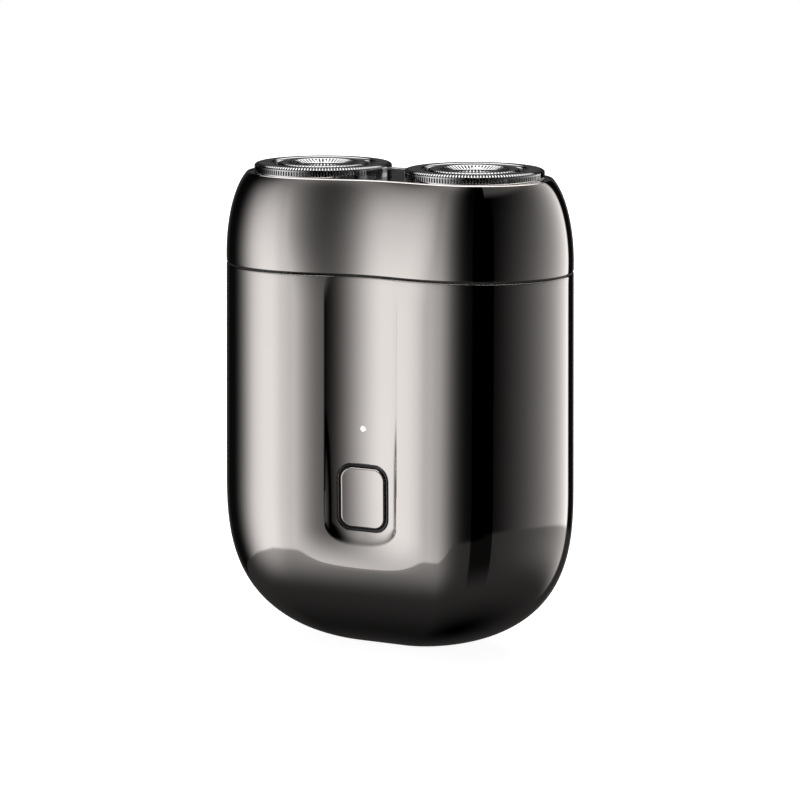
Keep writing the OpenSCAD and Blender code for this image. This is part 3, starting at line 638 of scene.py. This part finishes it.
def battery_wrap():
    """Blue film that ends in a silver band at the top of the cell."""
    blue = (0.04, 0.16, 0.42)
    silver = (0.75, 0.77, 0.8)
    paint = Paint("battery_wrap", blue, 0.0, 0.28)
    split = paint.add("ShaderNodeSeparateXYZ")
    paint.link(paint.place, split.inputs[0])
    band = paint.add("ShaderNodeMath", operation="GREATER_THAN")
    band.inputs[1].default_value = SILVER_FROM * MM
    paint.link(split.outputs["Z"], band.inputs[0])
    paint.tint(band.outputs[0], blue, silver)
    paint.roughen(paint.noise(300, 3), 0.2, 0.36)
    paint.bump(paint.noise(500, 3, (1, 1, 0.2)), 0.15, 0.04)
    return paint.mat


def light_glow(name, color, strength):
    """A lit, slightly cloudy lens."""
    paint = Paint(name, color, 0.0, 0.15)
    paint.roughen(paint.noise(2500, 2), 0.08, 0.25)
    paint.tint(paint.spread(paint.noise(1500, 2), 0, 1), color, tuple(c * 0.96 for c in color))
    paint.bsdf.inputs["Emission Color"].default_value = (*color, 1.0)
    paint.bsdf.inputs["Emission Strength"].default_value = strength
    return paint.mat


def make_materials():
    """One material for each slot of the record."""
    turned = (0.05, 0.05, 1)
    drawn = (1, 1, 0.06)
    return {
        "shell_metal": shell_metal(),
        "cap_steel": cap_steel(),
        "black_gloss": plastic("black_gloss", (0.006, 0.006, 0.007), 0.09, 1400, 0.02, 0.4),
        "black_plastic": plastic("black_plastic", (0.02, 0.02, 0.021), 0.42, 1800, 0.2),
        "grey_plastic": plastic("grey_plastic", (0.09, 0.095, 0.105), 0.45, 1600, 0.2),
        "white_plastic": plastic("white_plastic", (0.82, 0.82, 0.78), 0.36, 1200, 0.08),
        "switch": plastic("switch", (0.03, 0.03, 0.033), 0.35, 1500, 0.1),
        "red_plastic": plastic("red_plastic", (0.52, 0.05, 0.03), 0.34, 1300, 0.1),
        "rubber": plastic("rubber", (0.012, 0.012, 0.012), 0.62, 2200, 0.3),
        "lens": light_glow("lens", (0.96, 0.97, 1.0), 0.4),
        "led": light_glow("led", (0.95, 0.92, 0.78), 0.4),
        "board": circuit_board(),
        "battery_wrap": battery_wrap(),
        "socket_steel": brushed("socket_steel", (0.62, 0.62, 0.64), 0.26, drawn),
        "nickel": brushed("nickel", (0.66, 0.64, 0.58), 0.3, turned),
        "motor_steel": brushed("motor_steel", (0.56, 0.57, 0.58), 0.3, turned),
        "screw_steel": brushed("screw_steel", (0.6, 0.6, 0.61), 0.25, turned),
        "brass": brushed("brass", (0.72, 0.53, 0.2), 0.25, turned),
        "magnet": brushed("magnet", (0.64, 0.64, 0.66), 0.14, turned),
        "spring_steel": brushed("spring_steel", (0.62, 0.62, 0.64), 0.2, drawn),
        "blade_steel": brushed("blade_steel", (0.6, 0.61, 0.63), 0.2, turned),
    }


# ---------------------------------------------------------------- studio
# Directions are in degrees: azimuth 0 is the front and 90 the right, and height 0 is level.
# A pair is the span over which something fades in or out.
LEFT_BOX = 0.72
LEFT_RISE = (-112, -50)
LEFT_RISE_POWER = 2.0
LEFT_FALL = (-44, 14)
LEFT_FALL_POWER = 1.55
RIGHT_BOX = 1.0
RIGHT_FROM = 33.0
RIGHT_RUN = 122.0
RIGHT_SLOW = 1.8
RIGHT_SLOW_SHARE = 0.3
RIGHT_FAST = 5.0
RIGHT_FAST_SHARE = 0.6
RIGHT_FALL = (157, 161)
REAR_GLOW = 0.05
REAR_FALL = (-150, -120)
ROOM_GLOW = 0.003
FLAG_RISE = (13, 14)
FLAG_FALL = (37.5, 38.5)
DIM_RISE = (-18, 58)
DIM_SHARE = 0.8
OVERHEAD = 0.045
OVERHEAD_HEIGHT = (45, 60)
OVERHEAD_RISE = (27, 28)
OVERHEAD_FALL = (105, 125)
HIGH_BOX = 1.5
HIGH_BOX_AIM = (-0.17, 0.39, 0.905)
HIGH_BOX_RISE = (0.77, 0.82)
TABLE_EDGE = -22.7
TABLE_EDGE_SOFT = 0.5
TABLE_FRONT = (-24, 4)
TABLE_FRONT_RISE = 5.5
TABLE_RIGHT = (20, 36)
TABLE_RIGHT_RISE = 1.2
TABLE_LEFT = (-95, -45)
TABLE_LEFT_DROP = 4.0
TABLE_CORNER_RISE = (-62, -38)
TABLE_CORNER_FALL = (-38, -18)
TABLE_CORNER = 0.5
TABLE_MIRROR = 0.42
TABLE_MIRROR_RISE = (-46, -20)
TABLE_MIRROR_POWER = 2.2
TABLE_SHADE = 0.85
TABLE_SHADE_RISE = (-42, -24)
TABLE_LEVEL = 0.02
TABLE_LEVEL_RISE = (-90, -30)
STUDIO_POWER = 1.36
STUDIO_TINT = (1.0, 0.985, 0.975)

# Floor and camera, in metres and degrees; lens and sensor in millimetres
FLOOR_HALF = 1.5
FLOOR_DROP = 0.0001
FLOOR_GLOW = 0.92
CAMERA_AZIMUTH = 23.47
CAMERA_ELEVATION = 11.13
CAMERA_DISTANCE = 0.44844
CAMERA_AIM_Z = 0.04165
CAMERA_SENSOR = 36.0
CAMERA_LENS = 116.57
CAMERA_SHIFT_X = 0.0027
CAMERA_SHIFT_Y = 0.0046


class Sums:
    """Arithmetic on sockets or numbers in one node tree."""

    def __init__(self, tree):
        self.tree = tree

    def do(self, operation, *terms):
        node = self.tree.nodes.new("ShaderNodeMath")
        node.operation = operation
        for i, term in enumerate(terms):
            if isinstance(term, (int, float)):
                node.inputs[i].default_value = term
            else:
                self.tree.links.new(term, node.inputs[i])
        return node.outputs[0]

    def product(self, *terms):
        total = terms[0]
        for term in terms[1:]:
            total = self.do("MULTIPLY", total, term)
        return total

    def total(self, *terms):
        total = terms[0]
        for term in terms[1:]:
            total = self.do("ADD", total, term)
        return total

    def power(self, value, exponent):
        return self.do("POWER", value, exponent)

    def rest(self, value):
        """What is left of 1."""
        return self.do("SUBTRACT", 1.0, value)

    def rises(self, span, value):
        """Smoothly 0 at the start of the span and 1 at its end."""
        node = self.tree.nodes.new("ShaderNodeMapRange")
        node.interpolation_type = "SMOOTHSTEP"
        node.inputs["From Min"].default_value = span[0]
        node.inputs["From Max"].default_value = span[1]
        self.tree.links.new(value, node.inputs["Value"])
        return node.outputs["Result"]


def make_studio():
    """Soft boxes all round, as a function of direction."""
    world = bpy.data.worlds.new("studio")
    bpy.context.scene.world = world
    world.use_nodes = True
    tree = world.node_tree
    tree.nodes.clear()
    sums = Sums(tree)
    coords = tree.nodes.new("ShaderNodeTexCoord")
    split = tree.nodes.new("ShaderNodeSeparateXYZ")
    tree.links.new(coords.outputs["Generated"], split.inputs[0])
    x, y, z = split.outputs
    azimuth = sums.product(sums.do("ARCTAN2", x, sums.product(y, -1.0)), 180 / math.pi)
    height = sums.product(sums.do("ARCSINE", z), 180 / math.pi)

    def rises(span, value=azimuth):
        return sums.rises(span, value)

    def falls(span, value=azimuth):
        return sums.rest(sums.rises(span, value))

    # Big soft box on the left, fading out towards the front
    left_rise = sums.power(rises(LEFT_RISE), LEFT_RISE_POWER)
    left_fall = sums.power(falls(LEFT_FALL), LEFT_FALL_POWER)
    left = sums.product(left_rise, left_fall, LEFT_BOX)
    # Backdrop glow that grows towards the back right, first slowly and then fast
    share = sums.do("DIVIDE", sums.do("SUBTRACT", azimuth, RIGHT_FROM), RIGHT_RUN)
    share = sums.do("MAXIMUM", sums.do("MINIMUM", share, 1.0), 0.0)
    slow = sums.product(sums.power(share, RIGHT_SLOW), RIGHT_SLOW_SHARE)
    fast = sums.product(sums.power(share, RIGHT_FAST), RIGHT_FAST_SHARE)
    right = sums.product(sums.total(slow, fast), falls(RIGHT_FALL), RIGHT_BOX)
    rear = sums.product(falls(REAR_FALL), REAR_GLOW)
    # A narrow black flag at the front right gives a hard dark column
    flag = sums.rest(sums.product(rises(FLAG_RISE), falls(FLAG_FALL)))
    walls = sums.product(sums.total(left, right, rear, ROOM_GLOW), flag)
    dimmed = sums.rest(sums.product(rises(DIM_RISE, height), DIM_SHARE))
    overhead = sums.product(
        rises(OVERHEAD_HEIGHT, height), rises(OVERHEAD_RISE), falls(OVERHEAD_FALL), OVERHEAD)
    # Bright box high up behind the object, as seen from the camera
    behind = sums.total(*[sums.product(axis, part) for axis, part in zip((x, y, z), HIGH_BOX_AIM)])
    high_box = sums.product(rises(HIGH_BOX_RISE, behind), HIGH_BOX)
    room = sums.total(sums.product(walls, dimmed), overhead, high_box)
    # Below its edge lies a dark glossy table that mirrors the boxes dimly
    front_rise = sums.product(rises(TABLE_FRONT), TABLE_FRONT_RISE)
    right_rise = sums.product(rises(TABLE_RIGHT), TABLE_RIGHT_RISE)
    left_drop = sums.product(falls(TABLE_LEFT), -TABLE_LEFT_DROP)
    corner = sums.product(rises(TABLE_CORNER_RISE), falls(TABLE_CORNER_FALL), TABLE_CORNER)
    edge_height = sums.total(front_rise, right_rise, left_drop, corner, TABLE_EDGE)
    over_edge = sums.do("SUBTRACT", height, edge_height)
    above = rises((-TABLE_EDGE_SOFT, TABLE_EDGE_SOFT), over_edge)
    near_edge = sums.power(rises(TABLE_MIRROR_RISE, height), TABLE_MIRROR_POWER)
    mirrored = sums.product(walls, near_edge, TABLE_MIRROR)
    shaded = sums.product(sums.rest(flag), rises(TABLE_SHADE_RISE, height), TABLE_SHADE)
    low_glow = sums.product(rises(TABLE_LEVEL_RISE, height), sums.rest(shaded), TABLE_LEVEL)
    table = sums.total(mirrored, low_glow)
    level = sums.total(sums.product(room, above), sums.product(table, sums.rest(above)))
    # The camera sees plain white; only what it lights and mirrors in the object is the studio
    seen = tree.nodes.new("ShaderNodeBackground")
    seen.inputs["Color"].default_value = (1.0, 1.0, 1.0, 1.0)
    lit = tree.nodes.new("ShaderNodeBackground")
    lit.inputs["Color"].default_value = (*STUDIO_TINT, 1.0)
    tree.links.new(sums.product(level, STUDIO_POWER), lit.inputs["Strength"])
    path = tree.nodes.new("ShaderNodeLightPath")
    choose = tree.nodes.new("ShaderNodeMixShader")
    out = tree.nodes.new("ShaderNodeOutputWorld")
    tree.links.new(path.outputs["Is Camera Ray"], choose.inputs[0])
    tree.links.new(lit.outputs[0], choose.inputs[1])
    tree.links.new(seen.outputs[0], choose.inputs[2])
    tree.links.new(choose.outputs[0], out.inputs[0])


def make_floor():
    """Wide white floor just under the foot. It glows, and mirrors don't show it."""
    half = FLOOR_HALF
    mesh = bpy.data.meshes.new("floor")
    corners = [(-half, -half, 0), (half, -half, 0), (half, half, 0), (-half, half, 0)]
    mesh.from_pydata(corners, [], [(0, 1, 2, 3)])
    floor = bpy.data.objects.new("floor", mesh)
    bpy.context.scene.collection.objects.link(floor)
    paint = Paint("floor", (0.9, 0.9, 0.9), 0.0, 0.9)
    paint.bsdf.inputs["Specular IOR Level"].default_value = 0.0
    paint.bsdf.inputs["Emission Color"].default_value = (1, 1, 1, 1)
    paint.bsdf.inputs["Emission Strength"].default_value = FLOOR_GLOW
    floor.data.materials.append(paint.mat)
    floor.visible_glossy = False
    floor.location.z = -FLOOR_DROP


def make_camera():
    azimuth = math.radians(CAMERA_AZIMUTH)
    elevation = math.radians(CAMERA_ELEVATION)
    flat = math.cos(elevation)
    away = Vector((math.sin(azimuth) * flat, -math.cos(azimuth) * flat, math.sin(elevation)))
    data = bpy.data.cameras.new("camera")
    data.sensor_width = CAMERA_SENSOR
    data.lens = CAMERA_LENS
    data.shift_x = CAMERA_SHIFT_X
    data.shift_y = CAMERA_SHIFT_Y
    data.clip_start = 0.01
    camera = bpy.data.objects.new("camera", data)
    camera.location = Vector((0.0, 0.0, CAMERA_AIM_Z)) + away * CAMERA_DISTANCE
    camera.rotation_euler = (-away).to_track_quat("-Z", "Y").to_euler()
    bpy.context.scene.collection.objects.link(camera)
    bpy.context.scene.camera = camera


# ---------------------------------------------------------------- putting it together
def dress(ob, material):
    ob.data.materials.clear()
    ob.data.materials.append(material)


def place(ob, body, slot, *replaced):
    """Dresses a new piece, makes it ride on its body and hides the CAD nodes it stands for."""
    dress(ob, materials[slot])
    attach(ob, body)
    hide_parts(*replaced)


make_camera()
make_studio()
make_floor()
materials = make_materials()
for name, ob in nodes.items():
    dress(ob, materials[slot_of[name]])

place(make_body(), "body", "shell_metal", "body_shell")
place(make_head(), "head", "shell_metal", "head_housing")
place(make_trim(), "body", "shell_metal")
place(make_bezel(), "body", "black_gloss", "button_bezel")
place(make_button(), "button", "shell_metal", "button_cap")
place(make_light(), "body", "lens", "light_pipe")
place(make_cap("cap_left_skin", -CAP_X), "cap_left", "cap_steel", "shaver_cap_left")
place(make_cap("cap_right_skin", CAP_X), "cap_right", "cap_steel", "shaver_cap_right")

view = bpy.context.scene.view_settings
view.view_transform = "Standard"
view.look = "None"
